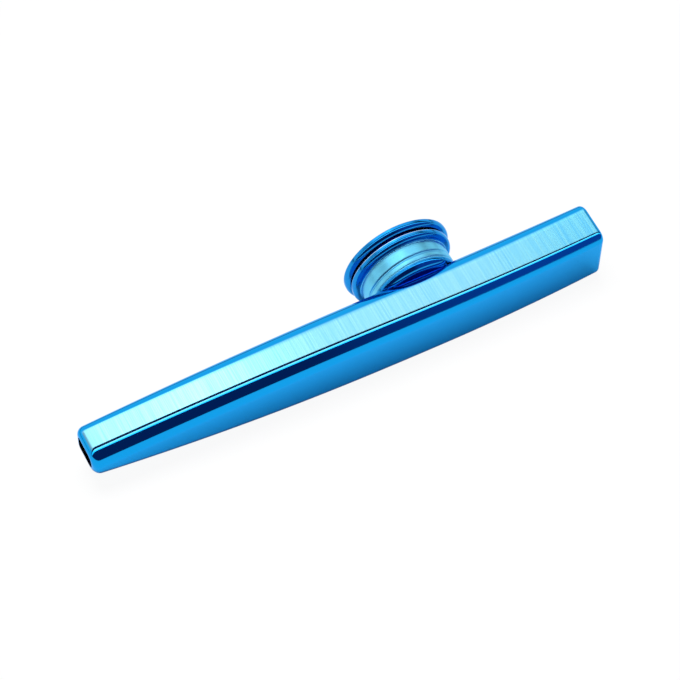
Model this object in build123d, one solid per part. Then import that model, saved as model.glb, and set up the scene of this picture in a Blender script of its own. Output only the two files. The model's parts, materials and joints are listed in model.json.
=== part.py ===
from build123d import *
import math
import os

# A metal kazoo, drawn the way it is played: X runs from the narrow outlet to the wide mouth end,
# the turret points up along Z, and Z = 0 is the flat top of the tube that the turret's seat is pressed into.
# The finished pieces are then laid on their side, on the rim of the cap and the belly of the tube,
# with the origin on the surface below the middle. All lengths are in millimetres.

# Tube: flattened, widest at its shoulder and deepest at its belly, with rolled ends
body_length = 120.8
wall = 0.8
outlet_width = 7.8
shoulder_width = 16.2
mouth_width = 14.8
outlet_depth = 10.1
belly_depth = 12.0
mouth_depth = 10.7
outlet_top_corner = 2.65
turret_top_corner = 4.45
mouth_top_corner = 2.8
outlet_low_corner = 3.65
mouth_low_corner = 2.15
outlet_curl = 0.9
mouth_curl = 0.3
lip_flat = 0.1
shoulder_share = 0.55
belly_share = 0.68
station_shares = (0.0, 0.12, 0.28, 0.42, 0.55, 0.68, 0.84, 1.0)
roundest_corner_share = 0.48
resting_tries = 200

# Turret cup: stands in a flat seat pressed into the tube, held by a spigot swaged over inside it
turret_from_mouth = 40.6
seat_depth = 1.45
seat_clearance = 0.05
neck_radius = 10.3
neck_height = 6.65
cup_wall = 0.8
cup_floor = 0.8
foot_rounding = 1.6
cup_corner = 0.4
rim_reach = 1.55
rim_height = 1.7
rim_rounding = 0.9
rim_edge = 0.35
cove_rounding = 0.35
spigot_radius = 5.5
spigot_wall = 0.8
swage_reach = 0.8
swage_height = 1.1

# Screw cap: its skirt turns inside the cup and its flange closes over the cup's rim
flange_reach = 0.7
flange_height = 1.8
flange_rounding = 1.1
flange_edge = 0.35
flange_face = 1.25
flange_gap = 0.5
thread_clearance = 0.1
dish_depth = 1.2
dish_rounding = 0.5
skirt_rounding = 0.2
socket_wall = 0.75

# Membrane: a film stuck under a ring, which sits in the socket at the end of the skirt
ring_clearance = 0.05
ring_seat = 0.65
ring_width = 1.2
ring_height = 1.4
ring_proud = 0.25
ring_rounding = 0.2
film_thickness = 0.1
film_margin = 0.3

# How far every cut runs past the face that it opens
overrun = 2.0

# Sizes and places that several pieces share
turret_x = body_length / 2 - turret_from_mouth
turret_share = 1 - turret_from_mouth / body_length
cup_bottom = -seat_depth
floor_top = cup_bottom + cup_floor
neck_top = cup_bottom + neck_height
cup_top = neck_top + rim_height
seat_radius = neck_radius + seat_clearance
cup_bore = neck_radius - cup_wall
rim_radius = neck_radius + rim_reach
spigot_bore = spigot_radius - spigot_wall
skirt_radius = cup_bore - thread_clearance
socket_radius = skirt_radius - socket_wall
mouth_radius = socket_radius - ring_seat
ring_radius = socket_radius - ring_clearance
ring_bottom = floor_top + film_thickness
ring_top = ring_bottom + ring_height
socket_top = ring_top + ring_clearance
skirt_bottom = ring_bottom + ring_proud
flange_radius = rim_radius + flange_reach
flange_bottom = cup_top + flange_gap
flange_top = flange_bottom + flange_height
dish_radius = flange_radius - flange_edge - flange_face
hang_down = (Align.CENTER, Align.CENTER, Align.MAX)
stand_up = (Align.CENTER, Align.CENTER, Align.MIN)


def bowed(share, start, peak, end, peak_share):
    """Size at a share of the length, on two parabolas that meet level at the peak."""
    if share < peak_share:
        return peak - (peak - start) * ((peak_share - share) / peak_share) ** 2
    return peak - (peak - end) * ((share - peak_share) / (1 - peak_share)) ** 2


def tube_sizes(share):
    """Width, depth, upper corner radius and lower corner radius at a share of the tube's length."""
    width = bowed(share, outlet_width, shoulder_width, mouth_width, shoulder_share)
    depth = bowed(share, outlet_depth, belly_depth, mouth_depth, belly_share)
    top = bowed(share, outlet_top_corner, turret_top_corner, mouth_top_corner, turret_share)
    low = bowed(share, outlet_low_corner, outlet_low_corner, mouth_low_corner, 0)
    roundest = roundest_corner_share * min(width, depth)
    return width, depth, min(top, roundest), min(low, roundest)


def tube_section(share, inset, end_inset):
    """Rounded section across the tube, drawn in from its skin by the inset."""
    x = (share - 0.5) * (body_length - 2 * end_inset)
    width, depth, top, low = tube_sizes(0.5 + x / body_length)
    outline = Rectangle(width - 2 * inset, depth - 2 * inset)
    outline = fillet(outline.vertices().group_by(Axis.Y)[-1], top - inset)
    outline = fillet(outline.vertices().group_by(Axis.Y)[0], low - inset)
    return Plane(origin=(x, 0, -depth / 2), x_dir=(0, 1, 0), z_dir=(1, 0, 0)) * outline


def tube_loft(inset, outlet_rounding, mouth_rounding):
    """Solid through the tube's sections, with the edges of both ends rounded off."""
    solid = loft([tube_section(share, inset, inset) for share in station_shares])
    solid = fillet(solid.faces().sort_by(Axis.X)[0].edges(), outlet_rounding)
    return fillet(solid.faces().sort_by(Axis.X)[-1].edges(), mouth_rounding)


def seat_press(grow):
    """Round punch that presses the turret's seat into the tube's top, grown all round for the inside."""
    punch = Cylinder(seat_radius + grow, seat_depth + grow + overrun, align=stand_up)
    return Pos(turret_x, 0, cup_bottom - grow) * punch


def body_tube(cavity):
    """Thin tube with a pressed seat, whose ends are rolled in to a rounded lip round their openings."""
    tube = tube_loft(0, wall + outlet_curl, wall + mouth_curl) - seat_press(0) - cavity
    for end_share, curl in ((0, outlet_curl), (1, mouth_curl)):
        opening = tube_section(end_share, wall + curl + lip_flat, 0)
        tube -= extrude(opening, amount=overrun, both=True)
    return tube - Pos(turret_x, 0, cup_bottom) * Cylinder(spigot_radius, 2 * (wall + overrun))


def turned(corners):
    """Solid turned about the turret axis from corners of (radius, height, rounding)."""
    outline = make_face(Polyline([(radius, 0, height) for radius, height, _ in corners], close=True))
    for radius, height, rounding in corners:
        if rounding > 0:
            corner = outline.vertices().sort_by_distance((radius, 0, height))[0]
            outline = fillet(corner, rounding)
    return Pos(turret_x, 0, 0) * revolve(outline, Axis.Z)


def spigot(cavity):
    """Hollow stem through the tube's seat, swaged out against the wall inside."""
    stem_height = cup_floor + wall + swage_height
    stem = Pos(turret_x, 0, floor_top) * Cylinder(spigot_radius, stem_height, align=hang_down)
    collar = Cylinder(spigot_radius + swage_reach, swage_height, align=hang_down)
    collar = Pos(turret_x, 0, cup_bottom - wall) * collar
    bore = Pos(turret_x, 0, cup_bottom) * Cylinder(spigot_bore, 2 * (stem_height + overrun))
    return stem + (collar & cavity) - bore


def turret_cup(cavity):
    """Cup with a straight neck, a rounded foot and a rolled rim, on its swaged spigot."""
    cup = turned(
        [
            (spigot_bore, cup_bottom, 0),
            (neck_radius, cup_bottom, foot_rounding),
            (neck_radius, neck_top, cove_rounding),
            (rim_radius, neck_top, rim_rounding),
            (rim_radius, cup_top, rim_edge),
            (cup_bore, cup_top, cup_corner),
            (cup_bore, floor_top, cup_corner),
            (spigot_bore, floor_top, 0),
        ]
    )
    return cup + spigot(cavity)


def screw_cap():
    """Flanged ring with a dished mouth, a skirt for the thread and a socket for the membrane."""
    return turned(
        [
            (socket_radius, skirt_bottom, 0),
            (skirt_radius, skirt_bottom, skirt_rounding),
            (skirt_radius, flange_bottom, 0),
            (flange_radius, flange_bottom, flange_rounding),
            (flange_radius, flange_top, flange_edge),
            (dish_radius, flange_top, dish_rounding),
            (mouth_radius, flange_top - dish_depth, dish_rounding),
            (mouth_radius, socket_top, 0),
            (socket_radius, socket_top, 0),
        ]
    )


def membrane_ring():
    """Ring that holds the film flat, a free fit in the cap's socket."""
    bore = ring_radius - ring_width
    return turned(
        [
            (bore, ring_bottom, 0),
            (ring_radius, ring_bottom, 0),
            (ring_radius, ring_top, ring_rounding),
            (bore, ring_top, ring_rounding),
        ]
    )


def membrane_film():
    """Thin disc under the ring, resting on the cup's floor over the spigot's mouth."""
    disc = Cylinder(ring_radius - film_margin, film_thickness, align=stand_up)
    return Pos(turret_x, 0, floor_top) * disc


def roll_on(share):
    """Degrees that the turret tips up when the cap's flange and this section share one surface."""
    width, depth, _, low = tube_sizes(share)
    out = (flange_radius - flange_rounding) - (width / 2 - low)
    up = (flange_bottom + flange_rounding) + (depth - low)
    between_centres = math.atan2(out, up)
    between_radii = math.asin((low - flange_rounding) / math.hypot(out, up))
    return math.degrees(between_centres - between_radii)


def resting_place(pieces):
    """Move that lays the pieces on their side and sets the origin below their middle."""
    roll = min(roll_on(step / resting_tries) for step in range(resting_tries + 1))
    turn = Rot(X=roll - 90)
    box = Compound(children=[turn * piece for piece in pieces]).bounding_box()
    return Pos(-box.center().X, -box.center().Y, -box.min.Z) * turn


tube_cavity = tube_loft(wall, outlet_curl, mouth_curl) - seat_press(wall)
upright = {
    "body_tube": body_tube(tube_cavity),
    "turret_cup": turret_cup(tube_cavity),
    "screw_cap": screw_cap(),
    "membrane_ring": membrane_ring(),
    "membrane_film": membrane_film(),
}
lay_down = resting_place(upright.values())

os.makedirs("parts", exist_ok=True)
for node, piece in upright.items():
    export_step(lay_down * piece, f"parts/{node}.step")
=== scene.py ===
"""Blue metal kazoo: a formed tube, a turret with a screw cap, and the membrane that buzzes inside it."""
import json
import math

import bmesh
import bpy
from mathutils import Matrix, Vector


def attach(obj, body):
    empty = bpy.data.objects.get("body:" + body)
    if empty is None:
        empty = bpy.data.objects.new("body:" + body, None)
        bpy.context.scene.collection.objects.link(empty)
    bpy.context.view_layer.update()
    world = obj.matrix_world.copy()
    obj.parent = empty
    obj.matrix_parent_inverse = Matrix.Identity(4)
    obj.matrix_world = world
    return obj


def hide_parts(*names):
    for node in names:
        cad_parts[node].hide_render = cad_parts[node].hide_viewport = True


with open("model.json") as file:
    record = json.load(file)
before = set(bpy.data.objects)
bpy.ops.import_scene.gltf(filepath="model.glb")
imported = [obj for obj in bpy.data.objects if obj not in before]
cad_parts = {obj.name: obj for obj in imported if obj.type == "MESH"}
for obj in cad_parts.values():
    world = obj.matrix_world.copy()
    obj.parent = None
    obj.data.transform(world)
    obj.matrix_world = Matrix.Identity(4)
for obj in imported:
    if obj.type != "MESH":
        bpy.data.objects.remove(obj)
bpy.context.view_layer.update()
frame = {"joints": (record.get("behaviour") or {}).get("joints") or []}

bl_info = {
    "name": "Screw-cap kazoo",
    "version": (1, 0, 0),
    "blender": (4, 5, 0),
    "location": "3D View > Sidebar > Kazoo",
    "description": "Makes a blue metal kazoo and the plain stage that it lies on",
    "category": "Object",
}

CAP_TURN = next(joint for joint in frame["joints"] if joint["name"] == "cap_turn")
MM = 0.001

# Noise patterns: repeats in a metre along X, Y and Z, and layers of finer detail
BRUSH_STROKES = ((4200.0, 60.0, 60.0), 2.0)
BROAD_STROKES = ((260.0, 20.0, 20.0), 2.0)
LATHE_RINGS = ((90.0, 90.0, 9000.0), 3.0)
MOULDED_GRAIN = ((2600.0, 2600.0, 2600.0), 3.0)
FILM_CREASES = ((300.0, 300.0, 300.0), 5.0)
NOISE_MIDDLE = 0.5

# Where the tube's finish begins and is full, by how squarely its skin faces the side. The flank's share also
# lays on the flanks' paler blue, which is brushing and partly a painted highlight of the softbox
FLANK_FACING = (0.96, 1.0)
FLAT_FACING = (0.995, 1.0)
CORNER_FACING = (0.6, 0.9)

# Where the tube's finish begins and is full, by the place along it. The mouth side also turns the flanks'
# paler blue, partly a painted highlight, to the wide end's blue
MOUTH_SIDE = (30.0 * MM, 55.0 * MM)
HANDLED_SIDE = (-20.0 * MM, 50.0 * MM)

# Fades of the softbox's glow along X: where each begins and is full, and what it adds
SOFTBOX_FADES = (
    (0.0 * MM, -150.0 * MM, 0.5),
    (300.0 * MM, 800.0 * MM, -0.4),
    (-300.0 * MM, -600.0 * MM, -1.2),
    (550.0 * MM, 1000.0 * MM, -1.0),
)
FLAG_FADE = (100.0 * MM, 300.0 * MM)


# Settings

def length(name, description, millimetres):
    """Property for a length, given in millimetres."""
    return bpy.props.FloatProperty(
        name=name, description=description, default=millimetres * MM, unit="LENGTH", precision=5)


def share(name, description, default):
    """Property for a share between nothing and all."""
    return bpy.props.FloatProperty(
        name=name, description=description, default=default, min=0.0, max=1.0, subtype="FACTOR")


def angle(name, description, degrees):
    """Property for an angle, given in degrees."""
    return bpy.props.FloatProperty(
        name=name, description=description, default=math.radians(degrees), subtype="ANGLE")


def colour(name, description, default):
    """Property for a linear colour."""
    return bpy.props.FloatVectorProperty(
        name=name, description=description, default=default, min=0.0, max=1.0, subtype="COLOR")


def amount(name, description, default):
    """Property for a plain number."""
    return bpy.props.FloatProperty(name=name, description=description, default=default)


class TubeSizes(bpy.types.PropertyGroup):
    """Sizes of the formed tube"""

    body_length: length("Length", "From end to end", 120.8)
    wall: length("Wall", "Thickness of the sheet", 0.8)
    outlet_width: length("Outlet width", "Outside width at the narrow end", 7.8)
    shoulder_width: length("Shoulder width", "Outside width where the tube is widest", 16.2)
    mouth_width: length("Mouth width", "Outside width at the wide end", 14.8)
    outlet_depth: length("Outlet depth", "Outside depth at the narrow end", 10.1)
    belly_depth: length("Belly depth", "Outside depth where the tube is deepest", 12.0)
    mouth_depth: length("Mouth depth", "Outside depth at the wide end", 10.7)
    outlet_top_corner: length("Outlet upper corner", "Radius of the upper corners at the narrow end", 2.65)
    turret_top_corner: length("Turret upper corner", "Radius of the upper corners below the turret", 4.45)
    mouth_top_corner: length("Mouth upper corner", "Radius of the upper corners at the wide end", 2.8)
    outlet_low_corner: length("Outlet lower corner", "Radius of the lower corners at the narrow end", 3.65)
    mouth_low_corner: length("Mouth lower corner", "Radius of the lower corners at the wide end", 2.15)
    outlet_curl: length("Outlet curl", "Inner radius of the rolled lip at the narrow end", 0.9)
    mouth_curl: length("Mouth curl", "Inner radius of the rolled lip at the wide end", 0.3)
    lip_flat: length("Lip flat", "Flat edge of both lips round their openings", 0.1)
    station_step: length("Station step", "Distance between the sections along the tube", 1.0)
    hole_clearance: length("Hole clearance", "Room round the spigot in the tube's top", 0.02)
    shoulder_share: share("Shoulder place", "Share of the length where the tube is widest", 0.55)
    belly_share: share("Belly place", "Share of the length where the tube is deepest", 0.68)
    roundest_share: share("Roundest corner", "Most that a corner takes of the section", 0.48)


class TurretSizes(bpy.types.PropertyGroup):
    """Sizes of the turret cup and its screw cap"""

    from_mouth: length("From the mouth end", "From the wide end to the turret's axis", 40.6)
    seat_depth: length("Seat depth", "How far the seat is pressed into the tube's top", 1.45)
    seat_clearance: length("Seat clearance", "Room round the neck in its seat", 0.05)
    neck_radius: length("Neck radius", "Outside radius of the neck", 10.3)
    neck_height: length("Neck height", "From the foot to the rim", 6.65)
    cup_wall: length("Cup wall", "Thickness of the neck", 0.8)
    cup_floor: length("Cup floor", "Thickness of the floor", 0.8)
    foot_rounding: length("Foot rounding", "Radius round the foot", 1.6)
    cup_corner: length("Cup corner", "Radius inside the cup and at its mouth", 0.4)
    rim_reach: length("Rim reach", "How far the rim stands out from the neck", 1.55)
    rim_height: length("Rim height", "Height of the rim", 1.7)
    rim_rounding: length("Rim rounding", "Radius below the rim", 0.9)
    rim_edge: length("Rim edge", "Radius above the rim", 0.35)
    cove_rounding: length("Cove", "Radius between the neck and the rim", 0.35)
    spigot_radius: length("Spigot radius", "Outside radius of the spigot", 5.5)
    spigot_wall: length("Spigot wall", "Thickness of the spigot", 0.8)
    swage_reach: length("Swage reach", "How far the spigot is swaged out", 0.8)
    swage_height: length("Swage height", "Height of the swaged collar", 1.1)
    flange_reach: length("Flange reach", "How far the flange stands out from the rim", 0.7)
    flange_height: length("Flange height", "Height of the flange", 1.8)
    flange_rounding: length("Flange rounding", "Radius below the flange", 1.1)
    flange_edge: length("Flange edge", "Radius above the flange", 0.35)
    flange_face: length("Flange face", "Width of the flat face on the flange", 1.25)
    flange_gap: length("Flange gap", "Gap between the rim and the flange", 0.5)
    thread_clearance: length("Thread clearance", "Room between the skirt and the cup", 0.1)
    dish_depth: length("Dish depth", "Depth of the dished mouth", 1.2)
    dish_rounding: length("Dish rounding", "Radius round the dish", 0.5)
    skirt_rounding: length("Skirt rounding", "Radius at the end of the skirt", 0.2)
    socket_wall: length("Socket wall", "Thickness of the skirt round the membrane", 0.75)
    thread_pitch: length("Thread pitch", "Rise of the thread in one turn", 1.6)
    groove_level: length("Groove level", "Height of the neck's groove on the mouth's side", 0.77)
    groove_low: length("Groove low end", "Height of the neck's groove where it begins", 0.1)
    groove_high: length("Groove high end", "Height of the neck's groove where it ends", 2.8)
    groove_depth: length("Groove depth", "Depth of the rolled groove", 0.2)
    groove_width: length("Groove width", "Width of the rolled groove", 0.9)
    row_step: length("Row step", "Distance between the rows that carry the groove", 0.08)
    # The worn band under the rim's top is a pale line painted as the highlight along the rim's edge
    worn_glint_top: length("Worn top", "From the rim's top to the worn edge below it", 0.05)


class MembraneSizes(bpy.types.PropertyGroup):
    """Sizes of the membrane's ring and film"""

    ring_clearance: length("Ring clearance", "Room round the ring in the cap", 0.05)
    ring_seat: length("Ring seat", "Width of the step that the ring stops against", 0.65)
    ring_width: length("Ring width", "Width of the ring", 1.2)
    ring_height: length("Ring height", "Height of the ring", 1.4)
    ring_proud: length("Ring proud", "How far the ring stands out of the cap", 0.25)
    ring_rounding: length("Ring rounding", "Radius of the ring's upper edges", 0.2)
    film_thickness: length("Film thickness", "Thickness of the film", 0.1)
    film_margin: length("Film margin", "From the film's edge to the ring's", 0.3)


class Finishes(bpy.types.PropertyGroup):
    """Colours and gloss of the pieces"""

    deep_blue: colour("Deep blue", "Dyed metal where it is polished", (0.006, 0.31, 0.72))
    # The two brushed blues are paler than the deep blue partly as a painted highlight: the softbox's bright
    # reflection on the flanks, washed out towards white
    brushed_highlight_blue: colour("Pale blue", "Dyed metal where it is brushed", (0.28, 0.64, 0.735))
    mouth_highlight_blue: colour("Mouth blue", "Dyed metal where it is brushed, at the wide end", (0.19, 0.62, 0.785))
    # Paler blue of the satin neck and skirt, partly a painted highlight of the softbox's bright reflection
    satin_highlight_blue: colour("Neck blue", "Dyed metal where it is satin", (0.15, 0.58, 0.80))
    # Darker blue of the turned pieces outside the satin band, partly painted shade for the dark reflections
    # on the rims
    rim_blue_and_shade: colour("Rim blue", "Dyed metal of the turned rims", (0.012, 0.24, 0.62))
    # Pale metal of the worn bands: on the cup's rim a painted highlight along its edge, drawn as dye worn
    # bare
    worn_edge_glint: colour("Bare metal", "Metal where the dye is worn off an edge", (0.72, 0.86, 0.95))
    slant_blue: colour("Slant blue", "What the dyed metal mirrors at a slant", (0.6, 0.8, 1.0))
    polish: share("Polish", "Roughness of the polished metal", 0.07)
    brushing: share("Brushing", "Roughness that the brushing adds", 0.10)
    dulling: share("Dulling", "Roughness that handling adds towards the wide end", 0.14)
    satin: share("Satin", "Roughness that the neck's satin adds", 0.18)
    lathe_roughness: share("Lathe roughness", "Roughness that the lathe's rings add", 0.1)
    # How far the flanks' paler blue, partly a painted highlight, covers the deep blue
    brushed_highlight_cover: share("Brushed cover", "How much of the deep blue the brushing takes off", 0.8)
    strokes: amount("Strokes", "Contrast of the brush marks", 0.8)
    mouth_strokes: amount("Mouth strokes", "Contrast that the brush marks gain at the wide end", 0.8)
    broad_strokes: amount("Broad strokes", "Contrast of the broad brush marks", 0.15)
    polished_bump: share("Polished bump", "How much of the brush marks' depth the polish leaves", 0.2)
    polished_lip: share("Polished lip", "Share of the rolled lips without any brushing", 0.6)
    # Share of the satin band's paler blue, partly a painted highlight, over the rims' darker blue
    satin_highlight_cover: share("Satin cover", "How far the neck's satin covers the rims' blue, at the least", 0.6)
    satin_fade: length("Satin fade", "Height over which the satin fades out", 0.3)
    # Fade of the pale worn band, on the cup's rim a painted edge highlight
    worn_glint_fade: length("Worn fade", "Height over which the dye is worn off", 0.08)
    stroke_bump: length("Stroke depth", "Depth of the brush marks", 0.0015)
    lathe_bump: length("Lathe depth", "Depth of the lathe's rings", 0.0006)
    ring_white: colour("Ring white", "Plastic of the membrane's ring", (0.80, 0.80, 0.76))
    ring_shade: share("Ring shade", "What the grain leaves of the ring's white", 0.93)
    ring_roughness: share("Ring roughness", "Least roughness of the ring", 0.38)
    ring_bump: length("Ring grain", "Depth of the ring's grain", 0.004)
    film_white: colour("Film white", "Plastic of the membrane's film", (0.86, 0.87, 0.84))
    film_shade: share("Film shade", "What the creases leave of the film's white", 0.9)
    film_roughness: share("Film roughness", "Least roughness of the film", 0.15)
    film_bump: length("Film creases", "Depth of the film's creases", 0.02)
    film_cover: share("Film cover", "How much the film hides", 0.55)
    mottling: share("Mottling", "Roughness that grain and creases add to the plastics", 0.2)


class StageSettings(bpy.types.PropertyGroup):
    """Camera and light"""

    azimuth: angle("Azimuth", "Camera's direction round the kazoo", -20.683)
    elevation: angle("Elevation", "Camera's height above the floor", 45.835)
    roll: angle("Roll", "Camera's tilt, positive with its right side up", -8.120)
    distance: length("Distance", "From the camera to the point that it aims at", 641.416)
    aim: bpy.props.FloatVectorProperty(
        name="Aim", description="Point that the camera aims at", unit="LENGTH",
        default=(0.087 * MM, -2.316 * MM, 7.651 * MM))
    lens: amount("Lens", "Focal length in millimetres", 158.824)
    sensor: amount("Sensor", "Width of the camera's sensor in millimetres", 36.0)
    near_clip: length("Near clip", "Nearest distance that the camera sees", 10.0)
    floor_reach: length("Floor reach", "Half width of the floor", 4000.0)
    lamp_distance: length("Lamp distance", "From the kazoo to the lamps", 700.0)
    lamp_reach: length("Lamp reach", "Half length of the lamps", 60000.0)
    card_end: angle("Card end", "Back edge of the back card, from straight up", -83.0)
    softbox_back: angle("Softbox back", "Back edge of the softbox, from straight up", -37.7)
    softbox_front: angle("Softbox front", "Front edge of the softbox, from straight up", -6.4)
    strip_back: angle("Strip back", "Back edge of the front strip, from straight up", 9.4)
    strip_front: angle("Strip front", "Front edge of the front strip, from straight up", 23.2)
    flag_end: angle("Flag end", "Front edge of the dark front, from straight up", 90.0)
    card_level: amount("Card level", "Brightness of the back card", 1.15)
    softbox_level: amount("Softbox level", "Brightness of the softbox round its lamp", 1.5)
    hot_spot: amount("Hot spot", "Brightness that the lamp adds to the softbox", 1.2)
    hot_spot_place: length("Hot spot place", "Place of the lamp along the softbox", 5.0)
    hot_spot_width: length("Hot spot width", "Distance over which the lamp's light fades", 75.0)
    gap_level: amount("Gap level", "Brightness of the dark gap between the lamps", 0.06)
    gap_tint: colour("Gap tint", "Colour of the dark gap", (0.3, 0.4, 1.0))
    strip_level: amount("Strip level", "Brightness of the front strip", 2.6)
    flag_level: amount("Flag level", "Brightness of the dark front", 0.12)
    flag_gain: amount("Flag gain", "Brightness that the dark front gains to the right", 0.27)
    flag_tint: colour("Flag tint", "Colour of the dark front", (0.25, 0.33, 1.0))
    floor_white: colour("Floor", "Colour of the floor", (0.9, 0.9, 0.9))
    floor_glow: share("Floor glow", "How much of the floor's white is its own, as seen", 0.93)
    mirror_glow: share("Mirrored glow", "How much of the floor's white is its own, as mirrored", 0.1)
    floor_lamp: amount("Floor lamp", "Power of the lamp that lights the floor", 5.2)
    room_level: amount("Room level", "Brightness of the room round the lamps", 0.30)


class KazooSettings(bpy.types.PropertyGroup):
    """Everything that a user would change"""

    tube: bpy.props.PointerProperty(type=TubeSizes)
    turret: bpy.props.PointerProperty(type=TurretSizes)
    membrane: bpy.props.PointerProperty(type=MembraneSizes)
    finishes: bpy.props.PointerProperty(type=Finishes)
    stage: bpy.props.PointerProperty(type=StageSettings)


class Turret:
    """Radii and heights that several pieces share, measured from the tube's flat top"""

    def __init__(self, settings):
        cup, ring, tube = settings.turret, settings.membrane, settings.tube
        self.x = tube.body_length / 2 - cup.from_mouth
        self.x_share = 1 - cup.from_mouth / tube.body_length
        self.cup_bottom = -cup.seat_depth
        self.floor_top = self.cup_bottom + cup.cup_floor
        self.neck_top = self.cup_bottom + cup.neck_height
        self.cup_top = self.neck_top + cup.rim_height
        self.seat_radius = cup.neck_radius + cup.seat_clearance
        self.cup_bore = cup.neck_radius - cup.cup_wall
        self.rim_radius = cup.neck_radius + cup.rim_reach
        self.spigot_bore = cup.spigot_radius - cup.spigot_wall
        self.skirt_radius = self.cup_bore - cup.thread_clearance
        self.socket_radius = self.skirt_radius - cup.socket_wall
        self.mouth_radius = self.socket_radius - ring.ring_seat
        self.ring_radius = self.socket_radius - ring.ring_clearance
        self.ring_bottom = self.floor_top + ring.film_thickness
        self.ring_top = self.ring_bottom + ring.ring_height
        self.socket_top = self.ring_top + ring.ring_clearance
        self.skirt_bottom = self.ring_bottom + ring.ring_proud
        self.flange_radius = self.rim_radius + cup.flange_reach
        self.flange_bottom = self.cup_top + cup.flange_gap
        self.flange_top = self.flange_bottom + cup.flange_height
        self.dish_radius = self.flange_radius - cup.flange_edge - cup.flange_face


# Node trees written as sums

class Field:
    """A number in a node tree, so that a rule reads as a plain sum"""

    def __init__(self, tree, socket):
        self.tree = tree
        self.socket = socket

    def apply(self, operation, *others):
        """The number after one operation of a Math node."""
        node = self.tree.nodes.new("ShaderNodeMath")
        node.operation = operation
        for socket, value in zip(node.inputs, (self, *others)):
            if isinstance(value, Field):
                self.tree.links.new(value.socket, socket)
            else:
                socket.default_value = value
        return Field(self.tree, node.outputs[0])

    def __add__(self, other):
        return self.apply("ADD", other)

    def __sub__(self, other):
        return self.apply("SUBTRACT", other)

    def __mul__(self, other):
        return self.apply("MULTIPLY", other)

    def __truediv__(self, other):
        return self.apply("DIVIDE", other)

    def squared(self):
        """The number times itself."""
        return self * self

    def rest(self):
        """What the number leaves of one."""
        return self * -1.0 + 1.0

    def held(self):
        """The number, held between nothing and one."""
        return self.apply("MAXIMUM", 0.0).apply("MINIMUM", 1.0)

    def rise(self, start, full):
        """Share of the way from a start to where it is full, held between nothing and one."""
        return ((self - start) / (full - start)).held()


class ShapeTree:
    """Geometry node tree that moves the points of a net by a rule"""

    def __init__(self, name):
        self.tree = bpy.data.node_groups.new(name, "GeometryNodeTree")
        self.tree.interface.new_socket("Geometry", in_out="INPUT", socket_type="NodeSocketGeometry")
        self.tree.interface.new_socket("Geometry", in_out="OUTPUT", socket_type="NodeSocketGeometry")
        self.tree.interface.new_socket("Material", in_out="INPUT", socket_type="NodeSocketMaterial")
        self.given = self.tree.nodes.new("NodeGroupInput")
        self.values = {}

    def size(self, name, value):
        """Named input of the tree, with the value that its modifier gets."""
        item = self.tree.interface.new_socket(name, in_out="INPUT", socket_type="NodeSocketFloat")
        self.values[item.identifier] = value
        return Field(self.tree, self.given.outputs[name])

    def attribute(self, name):
        """Number that the net carries at each point."""
        node = self.tree.nodes.new("GeometryNodeInputNamedAttribute")
        node.data_type = "FLOAT"
        node.inputs["Name"].default_value = name
        return Field(self.tree, node.outputs["Attribute"])

    def place(self):
        """X, Y and Z of each point."""
        position = self.tree.nodes.new("GeometryNodeInputPosition")
        parts = self.tree.nodes.new("ShaderNodeSeparateXYZ")
        self.tree.links.new(position.outputs[0], parts.inputs[0])
        return [Field(self.tree, socket) for socket in parts.outputs]

    def finish(self, x, y, z):
        """Moves the points to the sums and closes the tree."""
        nodes, links = self.tree.nodes, self.tree.links
        place = nodes.new("ShaderNodeCombineXYZ")
        for socket, value in zip(place.inputs, (x, y, z)):
            links.new(value.socket, socket)
        move = nodes.new("GeometryNodeSetPosition")
        links.new(self.given.outputs["Geometry"], move.inputs["Geometry"])
        links.new(place.outputs[0], move.inputs["Position"])
        realise = nodes.new("GeometryNodeRealizeInstances")
        links.new(move.outputs[0], realise.inputs[0])
        paint = nodes.new("GeometryNodeSetMaterial")
        links.new(realise.outputs[0], paint.inputs["Geometry"])
        links.new(self.given.outputs["Material"], paint.inputs["Material"])
        out = nodes.new("NodeGroupOutput")
        links.new(paint.outputs[0], out.inputs[0])

    def run(self, mesh, material):
        """Plain mesh that the tree makes of a net."""
        net = bpy.data.objects.new(mesh.name, mesh)
        bpy.context.collection.objects.link(net)
        modifier = net.modifiers.new(self.tree.name, "NODES")
        modifier.node_group = self.tree
        identifiers = {item.name: item.identifier for item in self.tree.interface.items_tree}
        modifier[identifiers["Material"]] = material
        for identifier, value in self.values.items():
            modifier[identifier] = value
        return baked(net)


def baked(helper):
    """Plain mesh of a helper object with its modifiers, which is then removed."""
    depsgraph = bpy.context.evaluated_depsgraph_get()
    mesh = bpy.data.meshes.new_from_object(helper.evaluated_get(depsgraph), depsgraph=depsgraph)
    bpy.data.objects.remove(helper)
    return mesh


# Shapes

def net_of_rings(name, rings, columns, closed):
    """Mesh of quads between rings of points, closed on itself or with a face at each end."""
    faces = []
    pairs = range(rings if closed else rings - 1)
    for ring in pairs:
        here, there = ring * columns, (ring + 1) % rings * columns
        for column in range(columns):
            after = (column + 1) % columns
            faces.append((here + column, here + after, there + after, there + column))
    if not closed:
        last = (rings - 1) * columns
        faces += [tuple(range(columns))[::-1], tuple(range(last, last + columns))]
    mesh = bpy.data.meshes.new(name)
    mesh.from_pydata([(0.0, 0.0, 0.0)] * (rings * columns), [], faces)
    return mesh


def bowed(place, start, peak, end, peak_share):
    """Size at a share of the length, on two parabolas that meet level at the peak."""
    before = (place / peak_share).rest().held()
    after = ((place - peak_share) / peak_share.rest()).held()
    return peak - (peak - start) * before.squared() - (peak - end) * after.squared()


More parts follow.
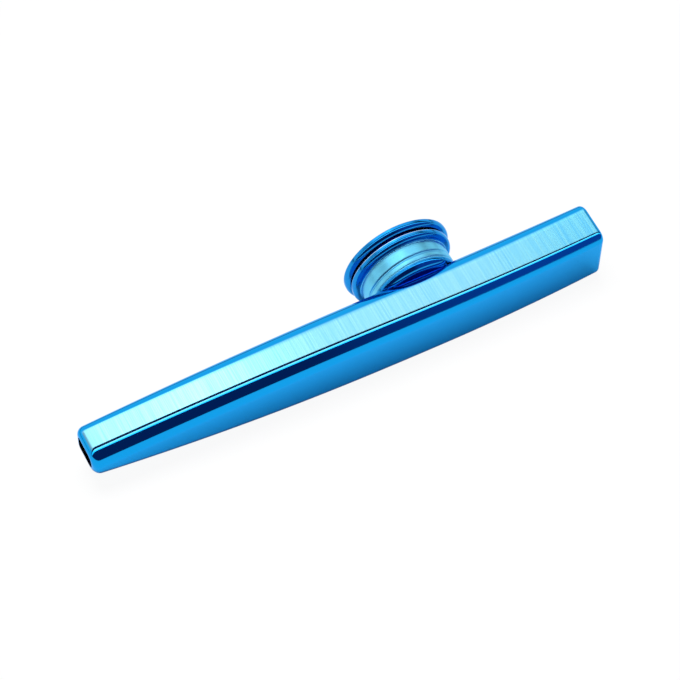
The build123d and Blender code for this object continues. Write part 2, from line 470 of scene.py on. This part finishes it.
def tube_path(tube):
    """Places along the tube and insets from its skin, out along the skin and back inside."""
    half = tube.body_length / 2

    def lip(end, curl):
        """Rolled lip from the skin, round to the opening and back to the wall inside."""
        steps = 10
        roll = tube.wall + curl
        arc = [math.radians(90 * step / steps) for step in range(steps + 1)]
        outer = [(roll - roll * math.cos(a), roll - roll * math.sin(a)) for a in arc]
        inner = [(roll - curl * math.cos(a), roll - curl * math.sin(a)) for a in reversed(arc)]
        edge = [(roll + tube.lip_flat, 0.0), (roll + tube.lip_flat, tube.wall)]
        return [(end * (half - back), inset) for inset, back in outer + edge + inner]

    def run(start, stop, inset, step):
        """Stations between two lips, without their ends."""
        count = round(abs(stop - start) / step)
        return [(start + (stop - start) * index / count, inset) for index in range(1, count)]

    outlet = lip(-1, tube.outlet_curl)
    mouth = lip(1, tube.mouth_curl)
    skin = run(outlet[0][0], mouth[0][0], 0.0, tube.station_step)
    inside = run(mouth[-1][0], outlet[-1][0], tube.wall, 2 * tube.station_step)
    return skin + mouth + inside + outlet[::-1]


def tube_net(name, path, closed):
    """Net for sections along a path of (place, inset), whose points carry what the forming rule needs."""
    steps = 20
    corners = ((1, 1, 0), (-1, 1, 90), (-1, -1, 180), (1, -1, 270))
    around = []
    for side, lift, first in corners:
        for step in range(steps + 1):
            turn = math.radians(first + 90 * step / steps)
            around.append((side, lift, turn))
    mesh = net_of_rings(name, len(path), len(around), closed)
    carried = {"along": [], "inset": [], "side": [], "lift": [], "turn": [], "flank": []}
    for along, inset in path:
        for side, lift, turn in around:
            row = (along, inset, side, lift, turn, abs(math.cos(turn)))
            for values, value in zip(carried.values(), row):
                values.append(value)
    for label, values in carried.items():
        mesh.attributes.new(label, "FLOAT", "POINT").data.foreach_set("value", values)
    return mesh


def formed_tube(tube, turret_share):
    """Tree that forms the tube: sections that swell, bow and round off along the length."""
    rule = ShapeTree("Formed tube")
    along, inset, side, lift, turn = (
        rule.attribute(name) for name in ("along", "inset", "side", "lift", "turn"))
    place = along / rule.size("Length", tube.body_length) + 0.5

    def swelling(first, middle, last, peak_share):
        """Size that swells between three of the tube's sizes, each an input of the tree."""
        names = (first, middle, last)
        labels = [name.replace("_", " ").capitalize() for name in names]
        sizes = [rule.size(label, getattr(tube, name)) for label, name in zip(labels, names)]
        return bowed(place, *sizes, rule.size(f"{labels[1]} place", peak_share))

    width = swelling("outlet_width", "shoulder_width", "mouth_width", tube.shoulder_share)
    depth = swelling("outlet_depth", "belly_depth", "mouth_depth", tube.belly_share)
    top = swelling("outlet_top_corner", "turret_top_corner", "mouth_top_corner", turret_share)
    outlet_low = rule.size("Outlet low corner", tube.outlet_low_corner)
    mouth_low = rule.size("Mouth low corner", tube.mouth_low_corner)
    low = outlet_low - (outlet_low - mouth_low) * place.squared()
    upper = (lift + 1.0) / 2.0
    roundest = width.apply("MINIMUM", depth) * rule.size("Roundest corner", tube.roundest_share)
    corner = (low + (top - low) * upper).apply("MINIMUM", roundest) - inset
    out = width / 2.0 - inset - corner
    up = depth / 2.0 - inset - corner
    y = side * out + corner * turn.apply("COSINE")
    z = lift * up + corner * turn.apply("SINE") - depth / 2.0
    rule.finish(along, y, z)
    return rule


def rolled_thread(name, cup, level, low, high, skin):
    """Tree that rolls a right-hand groove into a turned wall, with a smooth run-out at both ends."""
    rule = ShapeTree(name)
    x, y, z = rule.place()
    pitch = rule.size("Pitch", cup.thread_pitch)
    width = rule.size("Groove width", cup.groove_width)
    round_share = y.apply("ARCTAN2", x) / (2 * math.pi)
    turns = (z - rule.size("Level", level)) / pitch - round_share
    off = (turns - turns.apply("ROUND")) * pitch
    across = (off / width * 2.0).apply("ABSOLUTE").held()
    hollow = (across * math.pi).apply("COSINE") * 0.5 + 0.5
    centre = z - off
    begun = ((centre - rule.size("Low end", low)) / width + 0.5).held()
    left = ((rule.size("High end", high) - centre) / width + 0.5).held()
    radius = (x.squared() + y.squared()).apply("SQRT")
    on_skin = radius.apply("GREATER_THAN", rule.size("Skin radius", skin))
    cut = hollow * begun * left * on_skin * rule.size("Groove depth", cup.groove_depth)
    kept = (radius - cut) / radius
    rule.finish(x * kept, y * kept, z)
    return rule


def rounded_outline(corners):
    """Points of an outline whose corners of (radius, height, rounding) are rounded off."""
    fine = math.radians(6)
    points = []
    for index, (radius, height, rounding) in enumerate(corners):
        here = Vector((radius, height))
        if not rounding:
            points.append(here)
            continue
        back = (Vector(corners[index - 1][:2]) - here).normalized()
        ahead = (Vector(corners[(index + 1) % len(corners)][:2]) - here).normalized()
        half = back.angle(ahead) / 2
        centre = here + (back + ahead).normalized() * (rounding / math.sin(half))
        first = here + back * (rounding / math.tan(half)) - centre
        last = here + ahead * (rounding / math.tan(half)) - centre
        steps = math.ceil((math.pi - 2 * half) / fine)
        sweep = math.atan2(first.x * last.y - first.y * last.x, first.dot(last))
        for step in range(steps + 1):
            turn = sweep * step / steps
            cosine, sine = math.cos(turn), math.sin(turn)
            spoke = Vector((first.x * cosine - first.y * sine, first.x * sine + first.y * cosine))
            points.append(centre + spoke)
    return points


def with_rows(points, radius, step):
    """The outline, with extra points on the straight wall of one radius."""
    near = step / 100
    result = []
    for index, here in enumerate(points):
        after = points[(index + 1) % len(points)]
        result.append(here)
        on_wall = max(abs(here.x - radius), abs(after.x - radius)) < near
        count = round((after - here).length / step) if on_wall else 0
        result.extend(here.lerp(after, row / count) for row in range(1, count))
    return result


def turned_mesh(name, points, closed=True):
    """Mesh turned about the turret's axis from an outline that runs out, up and back in."""
    columns = 240
    mesh = net_of_rings(name, len(points), columns, closed)
    places = []
    for point in points:
        for column in range(columns):
            turn = 2 * math.pi * column / columns
            places += (point.x * math.cos(turn), point.x * math.sin(turn), point.y)
    mesh.vertices.foreach_set("co", places)
    return mesh


def round_block(name, x, radius, low, high):
    """Upright round block over a place on the tube, between two heights."""
    mesh = turned_mesh(name, [Vector((radius, low)), Vector((radius, high))], closed=False)
    mesh.transform(Matrix.Translation((x, 0.0, 0.0)))
    return mesh


def combined(mesh, operation, other):
    """Plain mesh after an exact union, cut or overlap with another mesh."""
    helper = bpy.data.objects.new(mesh.name, mesh)
    tool = bpy.data.objects.new(other.name, other)
    for item in (helper, tool):
        bpy.context.collection.objects.link(item)
    modifier = helper.modifiers.new("Combine", "BOOLEAN")
    modifier.operation = operation
    modifier.solver = "EXACT"
    modifier.object = tool
    result = baked(helper)
    bpy.data.objects.remove(tool)
    return result


def shaded(mesh):
    """Plain mesh with smooth faces, sharp edges and normals that follow the larger faces."""
    sharp = math.radians(35)
    same_place = 0.00001 * MM
    bm = bmesh.new()
    bm.from_mesh(mesh)
    bmesh.ops.remove_doubles(bm, verts=bm.verts, dist=same_place)
    for edge in bm.edges:
        edge.smooth = edge.is_manifold and edge.calc_face_angle() < sharp
    for face in bm.faces:
        face.smooth = True
    bm.to_mesh(mesh)
    bm.free()
    helper = bpy.data.objects.new(mesh.name, mesh)
    bpy.context.collection.objects.link(helper)
    modifier = helper.modifiers.new("Normals", "WEIGHTED_NORMAL")
    modifier.keep_sharp = True
    return baked(helper)


def upright_place():
    """Matrix from the upright drawing, with the tube's top at zero, to where the kazoo lies."""
    turret = Turret(bpy.context.scene.kazoo)
    along = Vector((1.0, 0.0, 0.0))
    up = Vector(CAP_TURN["axis"])
    across = up.cross(along)
    origin = Vector(CAP_TURN["pos_m"]) - along * turret.x - up * turret.flange_bottom
    place = Matrix((along, across, up)).transposed().to_4x4()
    place.translation = origin
    return place


def piece(name, mesh, place, body, material):
    """Makes the finished piece, in its place, that stands for the node of the same name."""
    mesh = shaded(mesh)
    mesh.transform(place)
    mesh.materials.clear()
    mesh.materials.append(material)
    made = bpy.data.objects.new(f"{name}_dressed", mesh)
    bpy.context.collection.objects.link(made)
    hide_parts(name)
    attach(made, body)


# Finishes

class Paint:
    """Material under construction"""

    def __init__(self, name):
        self.material = bpy.data.materials.new(name)
        self.material.use_nodes = True
        self.tree = self.material.node_tree
        self.shader = self.tree.nodes["Principled BSDF"]

    def add(self, kind, **settings):
        """New node of a kind, with its settings."""
        node = self.tree.nodes.new(kind)
        for name, value in settings.items():
            setattr(node, name, value)
        return node

    def link(self, socket, target):
        """Leads one socket to another."""
        self.tree.links.new(socket, target)

    def metal(self, finishes):
        """Makes it metal, whose dye also tints what it mirrors at a slant."""
        self.shader.inputs["Metallic"].default_value = 1.0
        self.shader.inputs["Specular Tint"].default_value = (*finishes.slant_blue, 1.0)

    def drawn(self, place):
        """The object's own coordinates, turned back to the upright drawing."""
        source = self.add("ShaderNodeTexCoord")
        mapping = self.add("ShaderNodeMapping")
        self.link(source.outputs["Object"], mapping.inputs["Vector"])
        turned = place.inverted()
        mapping.inputs["Location"].default_value = turned.translation
        mapping.inputs["Rotation"].default_value = turned.to_euler()
        return mapping.outputs[0]

    def pattern(self, scale, detail, place=Matrix()):
        """Noise on the coordinates of a drawing, stretched by its scale."""
        stretch = self.add("ShaderNodeMapping")
        stretch.inputs["Scale"].default_value = scale
        self.link(self.drawn(place), stretch.inputs["Vector"])
        noise = self.add("ShaderNodeTexNoise")
        noise.inputs["Scale"].default_value = 1.0
        noise.inputs["Detail"].default_value = detail
        self.link(stretch.outputs[0], noise.inputs["Vector"])
        return Field(self.tree, noise.outputs["Fac"])

    def attribute(self, name):
        """Number that the mesh carries at each point."""
        node = self.add("ShaderNodeAttribute", attribute_name=name)
        return Field(self.tree, node.outputs["Fac"])

    def height(self, place):
        """Height in the upright drawing."""
        parts = self.add("ShaderNodeSeparateXYZ")
        self.link(self.drawn(place), parts.inputs[0])
        return Field(self.tree, parts.outputs["Z"])

    def between(self, share_field, *colours):
        """Colour between two colours, each a plain one or another mix."""
        node = self.add("ShaderNodeMix", data_type="RGBA")
        self.link(share_field.socket, node.inputs["Factor"])
        sockets = [socket for socket in node.inputs if socket.type == "RGBA"]
        for socket, value in zip(sockets, colours):
            if isinstance(value, bpy.types.NodeSocket):
                self.link(value, socket)
            else:
                socket.default_value = (*value, 1.0)
        return next(socket for socket in node.outputs if socket.type == "RGBA")

    def coloured(self, socket):
        """Takes the colour from a socket."""
        self.link(socket, self.shader.inputs["Base Color"])

    def rough(self, field):
        """Takes the roughness from a rule."""
        self.link(field.socket, self.shader.inputs["Roughness"])

    def bumped(self, field, height):
        """Takes fine relief of one height from a rule."""
        node = self.add("ShaderNodeBump")
        node.inputs["Strength"].default_value = 1.0
        node.inputs["Distance"].default_value = height
        self.link(field.socket, node.inputs["Height"])
        self.link(node.outputs["Normal"], self.shader.inputs["Normal"])


def brushed_tube_finish(finishes, tube):
    """Dyed aluminium, polished round its edges and lips and brushed across its flanks, whose paler blue is
    partly a painted highlight of the softbox.
    """
    paint = Paint("Brushed blue aluminium")
    paint.metal(finishes)
    along = paint.attribute("along")
    facing = paint.attribute("flank")
    from_end = along.apply("ABSOLUTE") * -1.0 + tube.body_length / 2
    lip = tube.wall + tube.mouth_curl
    inside = from_end.rise(lip * finishes.polished_lip, lip)
    flank = facing.rise(*FLANK_FACING) * inside
    flat = facing.rise(*FLAT_FACING) * inside
    corner = facing.rise(*CORNER_FACING) * flat.rest()
    strokes = paint.pattern(*BRUSH_STROKES)
    broad = paint.pattern(*BROAD_STROKES)
    mouth_side = along.rise(*MOUTH_SIDE)
    contrast = mouth_side * finishes.mouth_strokes + finishes.strokes
    streak = (strokes - NOISE_MIDDLE) * contrast + (broad - NOISE_MIDDLE) * finishes.broad_strokes
    # The flanks' brushed blue, paler partly as a painted highlight of the softbox, turning to the wide end's
    # blue
    brushed = paint.between(mouth_side, finishes.brushed_highlight_blue, finishes.mouth_highlight_blue)
    cover = (flank * (streak + finishes.brushed_highlight_cover)).held()
    paint.coloured(paint.between(cover, finishes.deep_blue, brushed))
    dulled = along.rise(*HANDLED_SIDE) * corner.rest() * finishes.dulling
    paint.rough(flat * (streak + NOISE_MIDDLE) * finishes.brushing + dulled + finishes.polish)
    depth = flank * (1.0 - finishes.polished_bump) + finishes.polished_bump
    paint.bumped(strokes * depth, finishes.stroke_bump)
    return paint.material


def turned_finish(finishes, place, satin, worn):
    """Dyed aluminium with the fine rings of a lathe, satin and worn bare between two heights each. The satin
    band is paler partly as a painted highlight, the rest darker partly as painted shade, and the worn band
    pale, on the cup's rim a painted highlight along its edge.
    """
    paint = Paint("Turned blue aluminium")
    paint.metal(finishes)
    rings = paint.pattern(*LATHE_RINGS, place)
    height = paint.height(place)

    def band(low, high, fade):
        """Share of a finish between two heights, which fades out inside both."""
        return height.rise(low, low + fade) * height.rise(high, high - fade)

    dulled = band(*satin, finishes.satin_fade)
    # Pale worn band, on the cup's rim a painted highlight along its edge
    worn_glint_band = band(*worn, finishes.worn_glint_fade)
    cover = (dulled * (rings + 1.0) * finishes.satin_highlight_cover).held()
    # Paler satin blue on the band, partly a painted highlight; darker blue elsewhere, partly painted shade
    dyed = paint.between(cover, finishes.rim_blue_and_shade, finishes.satin_highlight_blue)
    paint.coloured(paint.between(worn_glint_band, dyed, finishes.worn_edge_glint))
    paint.rough(rings * finishes.lathe_roughness + dulled * finishes.satin + finishes.polish)
    paint.bumped(rings, finishes.lathe_bump)
    return paint.material


def plastic(name, pattern, white, shade, roughness, mottling, bump):
    """Paint of a white plastic whose pattern shades, dulls and bumps it a little."""
    paint = Paint(name)
    grain = paint.pattern(*pattern)
    paint.coloured(paint.between(grain, [value * shade for value in white], white))
    paint.rough(grain * mottling + roughness)
    paint.bumped(grain, bump)
    return paint


def ring_finish(finishes):
    """Satin white plastic with a faint moulded grain."""
    paint = plastic(
        "Satin white plastic", MOULDED_GRAIN, finishes.ring_white, finishes.ring_shade,
        finishes.ring_roughness, finishes.mottling, finishes.ring_bump)
    return paint.material


def film_finish(finishes):
    """Thin translucent film with faint creases."""
    paint = plastic(
        "Translucent film", FILM_CREASES, finishes.film_white, finishes.film_shade,
        finishes.film_roughness, finishes.mottling, finishes.film_bump)
    paint.shader.inputs["Alpha"].default_value = finishes.film_cover
    return paint.material


# Operators

class KAZOO_OT_body_tube(bpy.types.Operator):
    """Make the formed tube with its rolled lips, and the pressed seat and hole for the turret"""

    bl_idname = "kazoo.body_tube"
    bl_label = "Body tube"

    def execute(self, context):
        settings = context.scene.kazoo
        tube, turret = settings.tube, Turret(settings)
        finish = brushed_tube_finish(settings.finishes, tube)
        rule = formed_tube(tube, turret.x_share)
        mesh = rule.run(tube_net("body_tube", tube_path(tube), closed=True), finish)
        slug = rule.run(tube_net("slug", self.slug_path(tube, turret), closed=False), finish)
        over, below = tube.belly_depth, turret.cup_bottom - tube.wall
        pan = round_block("pan", turret.x, turret.seat_radius + tube.wall, below, over)
        mesh = combined(mesh, "UNION", combined(pan, "INTERSECT", slug))
        press = round_block("press", turret.x, turret.seat_radius, turret.cup_bottom, over)
        mesh = combined(mesh, "DIFFERENCE", press)
        radius = settings.turret.spigot_radius + tube.hole_clearance
        hole = round_block("hole", turret.x, radius, below - tube.wall, over)
        mesh = combined(mesh, "DIFFERENCE", hole)
        piece("body_tube", mesh, upright_place(), "tube", finish)
        return {"FINISHED"}

    def slug_path(self, tube, turret):
        """Stations of a block that fills the tube below the turret, out to the middle of its wall."""
        reach = round(2 * turret.seat_radius / tube.station_step)
        places = [turret.x + step * tube.station_step for step in range(-reach, reach + 1)]
        return [(place, tube.wall / 2) for place in places if abs(place) < tube.body_length / 2]


class KAZOO_OT_turret_cup(bpy.types.Operator):
    """Make the turret cup with its rolled thread, rim and swaged spigot"""

    bl_idname = "kazoo.turret_cup"
    bl_label = "Turret cup"

    def execute(self, context):
        settings = context.scene.kazoo
        cup, tube, turret = settings.turret, settings.tube, Turret(settings)
        place = upright_place() @ Matrix.Translation((turret.x, 0.0, 0.0))
        foot_top = turret.cup_bottom + cup.foot_rounding
        # Pale band just under the rim's top: a painted highlight along the rim's edge, drawn as dye worn
        # bare
        worn = (turret.cup_top - cup.rim_edge, turret.cup_top - cup.worn_glint_top)
        # The neck's satin band takes the paler blue, partly a painted highlight
        finish = turned_finish(settings.finishes, place, (foot_top, turret.neck_top), worn)
        collar_top = turret.cup_bottom - tube.wall
        collar_bottom = collar_top - cup.swage_height
        collar_radius = cup.spigot_radius + cup.swage_reach
        outline = rounded_outline([
            (turret.spigot_bore, collar_bottom, 0),
            (collar_radius, collar_bottom, 0),
            (collar_radius, collar_top, 0),
            (cup.spigot_radius, collar_top, 0),
            (cup.spigot_radius, turret.cup_bottom, 0),
            (cup.neck_radius, turret.cup_bottom, cup.foot_rounding),
            (cup.neck_radius, turret.neck_top, cup.cove_rounding),
            (turret.rim_radius, turret.neck_top, cup.rim_rounding),
            (turret.rim_radius, turret.cup_top, cup.rim_edge),
            (turret.cup_bore, turret.cup_top, cup.cup_corner),
            (turret.cup_bore, turret.floor_top, cup.cup_corner),
            (turret.spigot_bore, turret.floor_top, 0),
        ])
        net = turned_mesh("turret_cup", with_rows(outline, cup.neck_radius, cup.row_step))
        thread = rolled_thread(
            "Rolled neck thread", cup, cup.groove_level, cup.groove_low, cup.groove_high,
            cup.neck_radius - cup.row_step)
        mesh = thread.run(net, finish)
        piece("turret_cup", mesh, place, "tube", finish)
        return {"FINISHED"}


class KAZOO_OT_screw_cap(bpy.types.Operator):
    """Make the screw cap with its flange, dished mouth and threaded skirt"""

    bl_idname = "kazoo.screw_cap"
    bl_label = "Screw cap"

    def execute(self, context):
        settings = context.scene.kazoo
        cup, turret = settings.turret, Turret(settings)
        place = upright_place() @ Matrix.Translation((turret.x, 0.0, 0.0))
        # The skirt takes the same paler satin blue as the neck, and its end the same pale worn-edge metal as
        # the cup's rim
        skirt = (turret.skirt_bottom, turret.flange_bottom)
        worn = (turret.skirt_bottom, turret.skirt_bottom + cup.skirt_rounding)
        finish = turned_finish(settings.finishes, place, skirt, worn)
        outline = rounded_outline([
            (turret.socket_radius, turret.skirt_bottom, 0),
            (turret.skirt_radius, turret.skirt_bottom, cup.skirt_rounding),
            (turret.skirt_radius, turret.flange_bottom, 0),
            (turret.flange_radius, turret.flange_bottom, cup.flange_rounding),
            (turret.flange_radius, turret.flange_top, cup.flange_edge),
            (turret.dish_radius, turret.flange_top, cup.dish_rounding),
            (turret.mouth_radius, turret.flange_top - cup.dish_depth, cup.dish_rounding),
            (turret.mouth_radius, turret.socket_top, 0),
            (turret.socket_radius, turret.socket_top, 0),
        ])
        net = turned_mesh("screw_cap", with_rows(outline, turret.skirt_radius, cup.row_step))
        low = turret.skirt_bottom + cup.groove_width
        high = turret.flange_bottom - cup.groove_width
        thread = rolled_thread(
            "Rolled skirt thread", cup, cup.groove_level, low, high, turret.skirt_radius - cup.row_step)
        mesh = thread.run(net, finish)
        piece("screw_cap", mesh, place, "cap", finish)
        return {"FINISHED"}


class KAZOO_OT_membrane(bpy.types.Operator):
    """Make the membrane's ring and the film stretched under it"""

    bl_idname = "kazoo.membrane"
    bl_label = "Membrane"

    def execute(self, context):
        settings = context.scene.kazoo
        ring, turret = settings.membrane, Turret(settings)
        place = upright_place() @ Matrix.Translation((turret.x, 0.0, 0.0))
        bore = turret.ring_radius - ring.ring_width
        outline = rounded_outline([
            (bore, turret.ring_bottom, 0),
            (turret.ring_radius, turret.ring_bottom, 0),
            (turret.ring_radius, turret.ring_top, ring.ring_rounding),
            (bore, turret.ring_top, ring.ring_rounding),
        ])
        mesh = turned_mesh("membrane_ring", outline)
        piece("membrane_ring", mesh, place, "membrane", ring_finish(settings.finishes))
        film_radius = turret.ring_radius - ring.film_margin
        film_bottom = turret.ring_bottom - ring.film_thickness
        edge = [Vector((film_radius, film_bottom)), Vector((film_radius, turret.ring_bottom))]
        mesh = turned_mesh("membrane_film", edge, closed=False)
        piece("membrane_film", mesh, place, "membrane", film_finish(settings.finishes))
        return {"FINISHED"}


# Stage

def glowing(name, level, tint=(1.0, 1.0, 1.0)):
    """Material that only gives light, at one level."""
    material = bpy.data.materials.new(name)
    material.use_nodes = True
    tree = material.node_tree
    tree.nodes.clear()
    light = tree.nodes.new("ShaderNodeEmission")
    light.inputs["Strength"].default_value = level
    light.inputs["Color"].default_value = (*tint, 1.0)
    out = tree.nodes.new("ShaderNodeOutputMaterial")
    tree.links.new(light.outputs[0], out.inputs["Surface"])
    return material


def with_level(material, level):
    """The glowing material, with its level from a rule."""
    tree = material.node_tree
    tree.links.new(level.socket, tree.nodes["Emission"].inputs["Strength"])
    return material


def place_along(tree):
    """Place along X on a lamp."""
    source = tree.nodes.new("ShaderNodeTexCoord")
    parts = tree.nodes.new("ShaderNodeSeparateXYZ")
    tree.links.new(source.outputs["Object"], parts.inputs[0])
    return Field(tree, parts.outputs["X"])


def softbox_material(settings):
    """Glow of a softbox, brightest in front of its lamp, brighter on the left and dim at both far ends."""
    material = glowing("Softbox", settings.softbox_level)
    along = place_along(material.node_tree)
    off_lamp = (along - settings.hot_spot_place) / settings.hot_spot_width
    level = (off_lamp.squared() * -1.0).apply("EXPONENT") * settings.hot_spot + settings.softbox_level
    for start, full, gain in SOFTBOX_FADES:
        level = level + along.rise(start, full) * gain
    return with_level(material, level)


def flag_material(settings):
    """Dark front of the room, which gets a little lighter to the right."""
    material = glowing("Front flag", settings.flag_level, settings.flag_tint)
    right = place_along(material.node_tree).rise(*FLAG_FADE)
    return with_level(material, right * settings.flag_gain + settings.flag_level)


def lamp_panel(name, low, high, settings, material):
    """Makes a long curved card over the kazoo between two angles from straight up, positive to the front."""
    arc = 8
    distance, reach = settings.lamp_distance, settings.lamp_reach
    points = []
    for step in range(arc + 1):
        turn = low + (high - low) * step / arc
        for x in (-reach, reach):
            points.append((x, -distance * math.sin(turn), distance * math.cos(turn)))
    faces = [(2 * row, 2 * row + 1, 2 * row + 3, 2 * row + 2) for row in range(arc)]
    mesh = bpy.data.meshes.new(name)
    mesh.from_pydata(points, [], faces)
    mesh.materials.append(material)
    card = bpy.data.objects.new(name, mesh)
    bpy.context.collection.objects.link(card)
    card.visible_camera = False
    card.visible_shadow = False
    card.visible_diffuse = False


def floor_material(settings):
    """Pale floor that keeps the kazoo's shadow."""
    material = bpy.data.materials.new("Pale floor")
    material.use_nodes = True
    tree = material.node_tree
    tree.nodes.clear()
    matt = tree.nodes.new("ShaderNodeBsdfDiffuse")
    matt.inputs["Color"].default_value = (*settings.floor_white, 1.0)
    white = tree.nodes.new("ShaderNodeEmission")
    path = tree.nodes.new("ShaderNodeLightPath")
    kinds = ("Is Camera Ray", "Is Glossy Ray", "Is Transmission Ray")
    seen, mirrored, passed = (Field(tree, path.outputs[kind]) for kind in kinds)
    glow = seen * settings.floor_glow + (mirrored + passed) * settings.mirror_glow
    mix = tree.nodes.new("ShaderNodeMixShader")
    tree.links.new(glow.held().socket, mix.inputs["Fac"])
    tree.links.new(matt.outputs[0], mix.inputs[1])
    tree.links.new(white.outputs[0], mix.inputs[2])
    out = tree.nodes.new("ShaderNodeOutputMaterial")
    tree.links.new(mix.outputs[0], out.inputs["Surface"])
    return material


class KAZOO_OT_stage(bpy.types.Operator):
    """Make the pale floor, the studio light and the camera"""

    bl_idname = "kazoo.stage"
    bl_label = "Stage"

    def execute(self, context):
        settings = context.scene.kazoo.stage
        self.floor(context, settings)
        self.light(context, settings)
        self.camera(context, settings)
        context.scene.view_settings.view_transform = "Standard"
        return {"FINISHED"}

    def floor(self, context, settings):
        """Makes the floor that the kazoo lies on."""
        reach = settings.floor_reach
        mesh = bpy.data.meshes.new("floor")
        corners = [(-reach, -reach, 0.0), (reach, -reach, 0.0), (reach, reach, 0.0), (-reach, reach, 0.0)]
        mesh.from_pydata(corners, [], [(0, 1, 2, 3)])
        mesh.materials.append(floor_material(settings))
        floor = bpy.data.objects.new("floor", mesh)
        context.collection.objects.link(floor)

    def light(self, context, settings):
        """Makes the cards that the metal mirrors, the lamp over the floor and the room."""
        strip = glowing("Front strip", settings.strip_level)
        back = glowing("Back card", settings.card_level)
        gap = glowing("Dark gap", settings.gap_level, settings.gap_tint)
        panels = (
            ("softbox", settings.softbox_back, settings.softbox_front, softbox_material(settings)),
            ("front_strip", settings.strip_back, settings.strip_front, strip),
            ("back_card", settings.card_end, settings.softbox_back, back),
            ("dark_gap", settings.softbox_front, settings.strip_back, gap),
            ("front_flag", settings.strip_front, settings.flag_end, flag_material(settings)),
        )
        for name, low, high, material in panels:
            lamp_panel(name, low, high, settings, material)
        lamp = bpy.data.lights.new("floor_lamp", "AREA")
        lamp.size = settings.lamp_distance / 2
        lamp.energy = settings.floor_lamp
        above = bpy.data.objects.new("floor_lamp", lamp)
        above.location = (0.0, 0.0, settings.lamp_distance)
        above.visible_glossy = False
        context.collection.objects.link(above)
        world = bpy.data.worlds.new("Room")
        world.use_nodes = True
        tree = world.node_tree
        tree.nodes["Background"].inputs["Color"].default_value = (1.0, 1.0, 1.0, 1.0)
        path = tree.nodes.new("ShaderNodeLightPath")
        seen = Field(tree, path.outputs["Is Camera Ray"])
        level = seen * (1.0 - settings.room_level) + settings.room_level
        tree.links.new(level.socket, tree.nodes["Background"].inputs["Strength"])
        context.scene.world = world

    def camera(self, context, settings):
        """Makes the camera, at its distance from the point that it aims at."""
        level = Vector((math.cos(settings.azimuth), math.sin(settings.azimuth), 0.0))
        ahead = Vector((-math.sin(settings.azimuth), math.cos(settings.azimuth), 0.0))
        back = Vector((0.0, 0.0, 1.0)) * math.sin(settings.elevation) - ahead * math.cos(settings.elevation)
        up = back.cross(level)
        right = level * math.cos(settings.roll) + up * math.sin(settings.roll)
        up = back.cross(right)
        place = Matrix((right, up, back)).transposed().to_4x4()
        place.translation = Vector(settings.aim) + back * settings.distance
        data = bpy.data.cameras.new("camera")
        data.sensor_width = settings.sensor
        data.lens = settings.lens
        data.clip_start = settings.near_clip
        camera = bpy.data.objects.new("camera", data)
        camera.matrix_world = place
        context.collection.objects.link(camera)
        context.scene.camera = camera


MAKERS = (KAZOO_OT_body_tube, KAZOO_OT_turret_cup, KAZOO_OT_screw_cap, KAZOO_OT_membrane, KAZOO_OT_stage)


class KAZOO_PT_makers(bpy.types.Panel):
    """List of the kazoo's pieces"""

    bl_idname = "KAZOO_PT_makers"
    bl_label = "Kazoo"
    bl_space_type = "VIEW_3D"
    bl_region_type = "UI"
    bl_category = "Kazoo"

    def draw(self, context):
        for maker in MAKERS:
            self.layout.operator(maker.bl_idname)
        settings = context.scene.kazoo
        for group in (settings.tube, settings.turret, settings.membrane, settings.finishes, settings.stage):
            box = self.layout.box()
            for name in type(group).__annotations__:
                box.prop(group, name)


CLASSES = (
    TubeSizes, TurretSizes, MembraneSizes, Finishes, StageSettings, KazooSettings, *MAKERS, KAZOO_PT_makers)


def register():
    """Registers the classes and the scene's settings."""
    for kind in CLASSES:
        bpy.utils.register_class(kind)
    bpy.types.Scene.kazoo = bpy.props.PointerProperty(type=KazooSettings)


def unregister():
    """Takes back what register did."""
    del bpy.types.Scene.kazoo
    for kind in reversed(CLASSES):
        bpy.utils.unregister_class(kind)


def main():
    """Makes every piece and the stage."""
    register()
    bpy.ops.kazoo.body_tube()
    bpy.ops.kazoo.turret_cup()
    bpy.ops.kazoo.screw_cap()
    bpy.ops.kazoo.membrane()
    bpy.ops.kazoo.stage()


if __name__ == "__main__":
    main()
